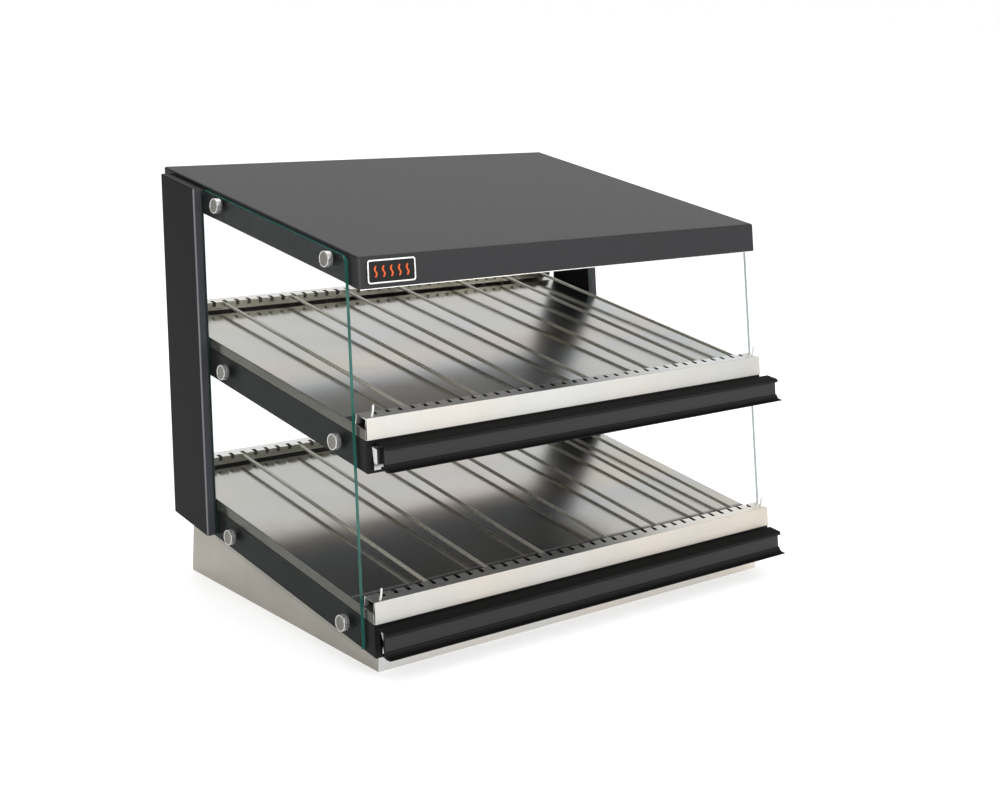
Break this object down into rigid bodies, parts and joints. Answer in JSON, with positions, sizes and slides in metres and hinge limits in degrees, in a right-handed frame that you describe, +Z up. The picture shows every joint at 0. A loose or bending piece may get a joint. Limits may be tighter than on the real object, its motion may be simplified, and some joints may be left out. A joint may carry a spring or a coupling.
{
  "type": "hot food display case",
  "caption": "Heated two-tier countertop food display case: wedge base, two sloped heated shelves with divider rods and label rails, canopy, uprights and glass sides.",
  "frame": {"origin": "centre of the base cabinet's footprint, on its underside", "axes": "+Z up, +X to the right seen from the customer side, customer side (front) at -Y"},
  "size_m": [0.9126, 0.7023, 0.694],
  "materials": {
    "black_powder": "satin black powder coat with a fine orange-peel texture",
    "stainless": "fine brushed stainless steel sheet, almost mirror on the trays",
    "rod_steel": "drawn stainless wire, satin",
    "bright_steel": "polished rim with a brushed, recessed centre",
    "black_plastic": "extruded or moulded dark plastic, satin",
    "white_plastic": "white nylon-coated wire",
    "aluminium": "natural extruded aluminium",
    "badge": "black field in a silver frame, with a plain pattern of orange heat waves and no lettering",
    "element": "dull dark heater sheath and foil-backed heater plate",
    "glass": "clear toughened glass with teal-green ground edges"
  },
  "bodies": {
    "case": {"badge": "badge", "base_cabinet": "stainless", "canopy_bottom_pan": "stainless", "canopy_heater": "element", "canopy_shell": "black_powder", "left_canopy_front_standoff": "bright_steel", "left_canopy_rear_standoff": "bright_steel", "left_column": "black_powder", "left_glass_panel": "glass", "left_low_front_standoff": "bright_steel", "left_low_rear_standoff": "bright_steel", "left_mid_front_standoff": "bright_steel", "left_mid_rear_standoff": "bright_steel", "low_front_lip": "stainless", "low_front_slotted_rail": "stainless", "low_heater_plate": "element", "low_left_end_pin": "white_plastic", "low_price_rail_mount": "aluminium", "low_rear_slotted_rail": "stainless", "low_right_end_pin": "white_plastic", "low_shelf_body": "black_powder", "low_tray": "stainless", "mid_front_lip": "stainless", "mid_front_slotted_rail": "stainless", "mid_heater_plate": "element", "mid_left_end_pin": "white_plastic", "mid_price_rail_mount": "aluminium", "mid_rear_slotted_rail": "stainless", "mid_right_end_pin": "white_plastic", "mid_shelf_body": "black_powder", "mid_tray": "stainless", "power_cord": "black_plastic", "rear_control_panel": "stainless", "right_canopy_front_standoff": "bright_steel", "right_canopy_rear_standoff": "bright_steel", "right_column": "black_powder", "right_glass_panel": "glass", "right_low_front_standoff": "bright_steel", "right_low_rear_standoff": "bright_steel", "right_mid_front_standoff": "bright_steel", "right_mid_rear_standoff": "bright_steel"},
    "low_rod_1": {"low_divider_rod_1": "rod_steel"},
    "low_rod_2": {"low_divider_rod_2": "rod_steel"},
    "low_rod_3": {"low_divider_rod_3": "rod_steel"},
    "low_rod_4": {"low_divider_rod_4": "rod_steel"},
    "low_rod_5": {"low_divider_rod_5": "rod_steel"},
    "low_rod_6": {"low_divider_rod_6": "rod_steel"},
    "low_rod_7": {"low_divider_rod_7": "rod_steel"},
    "low_label_rail": {"low_price_rail": "black_plastic"},
    "low_knob": {"low_heat_knob": "black_plastic"},
    "mid_rod_1": {"mid_divider_rod_1": "rod_steel"},
    "mid_rod_2": {"mid_divider_rod_2": "rod_steel"},
    "mid_rod_3": {"mid_divider_rod_3": "rod_steel"},
    "mid_rod_4": {"mid_divider_rod_4": "rod_steel"},
    "mid_rod_5": {"mid_divider_rod_5": "rod_steel"},
    "mid_rod_6": {"mid_divider_rod_6": "rod_steel"},
    "mid_rod_7": {"mid_divider_rod_7": "rod_steel"},
    "mid_label_rail": {"mid_price_rail": "black_plastic"},
    "mid_knob": {"mid_heat_knob": "black_plastic"},
    "rocker": {"power_switch": "black_plastic"}
  },
  "joints": [
    {"name": "low_rod_1_lift", "type": "slide", "parent": "case", "child": "low_rod_1", "axis": [0, -0.1305, 0.9914], "range_m": [0, 0.06]},
    {"name": "low_rod_2_lift", "type": "slide", "parent": "case", "child": "low_rod_2", "axis": [0, -0.1305, 0.9914], "range_m": [0, 0.06]},
    {"name": "low_rod_3_lift", "type": "slide", "parent": "case", "child": "low_rod_3", "axis": [0, -0.1305, 0.9914], "range_m": [0, 0.06]},
    {"name": "low_rod_4_lift", "type": "slide", "parent": "case", "child": "low_rod_4", "axis": [0, -0.1305, 0.9914], "range_m": [0, 0.06]},
    {"name": "low_rod_5_lift", "type": "slide", "parent": "case", "child": "low_rod_5", "axis": [0, -0.1305, 0.9914], "range_m": [0, 0.06]},
    {"name": "low_rod_6_lift", "type": "slide", "parent": "case", "child": "low_rod_6", "axis": [0, -0.1305, 0.9914], "range_m": [0, 0.06]},
    {"name": "low_rod_7_lift", "type": "slide", "parent": "case", "child": "low_rod_7", "axis": [0, -0.1305, 0.9914], "range_m": [0, 0.06]},
    {"name": "mid_rod_1_lift", "type": "slide", "parent": "case", "child": "mid_rod_1", "axis": [0, -0.1305, 0.9914], "range_m": [0, 0.06]},
    {"name": "mid_rod_2_lift", "type": "slide", "parent": "case", "child": "mid_rod_2", "axis": [0, -0.1305, 0.9914], "range_m": [0, 0.06]},
    {"name": "mid_rod_3_lift", "type": "slide", "parent": "case", "child": "mid_rod_3", "axis": [0, -0.1305, 0.9914], "range_m": [0, 0.06]},
    {"name": "mid_rod_4_lift", "type": "slide", "parent": "case", "child": "mid_rod_4", "axis": [0, -0.1305, 0.9914], "range_m": [0, 0.06]},
    {"name": "mid_rod_5_lift", "type": "slide", "parent": "case", "child": "mid_rod_5", "axis": [0, -0.1305, 0.9914], "range_m": [0, 0.06]},
    {"name": "mid_rod_6_lift", "type": "slide", "parent": "case", "child": "mid_rod_6", "axis": [0, -0.1305, 0.9914], "range_m": [0, 0.06]},
    {"name": "mid_rod_7_lift", "type": "slide", "parent": "case", "child": "mid_rod_7", "axis": [0, -0.1305, 0.9914], "range_m": [0, 0.06]},
    {"name": "low_label_rail_slide", "type": "slide", "parent": "case", "child": "low_label_rail", "axis": [1, 0, 0], "range_m": [-0.1, 0.1]},
    {"name": "mid_label_rail_slide", "type": "slide", "parent": "case", "child": "mid_label_rail", "axis": [1, 0, 0], "range_m": [-0.1145, 0.0855]},
    {"name": "low_knob_turn", "type": "hinge", "parent": "case", "child": "low_knob", "pos_m": [0.255, 0.2771, 0.05], "axis": [0, -1, 0], "range_deg": [0, 270]},
    {"name": "mid_knob_turn", "type": "hinge", "parent": "case", "child": "mid_knob", "pos_m": [0.195, 0.2771, 0.05], "axis": [0, -1, 0], "range_deg": [0, 270]},
    {"name": "rocker_press", "type": "hinge", "parent": "case", "child": "rocker", "pos_m": [0.105, 0.275, 0.05], "axis": [1, 0, 0], "range_deg": [0, 16]}
  ]
}
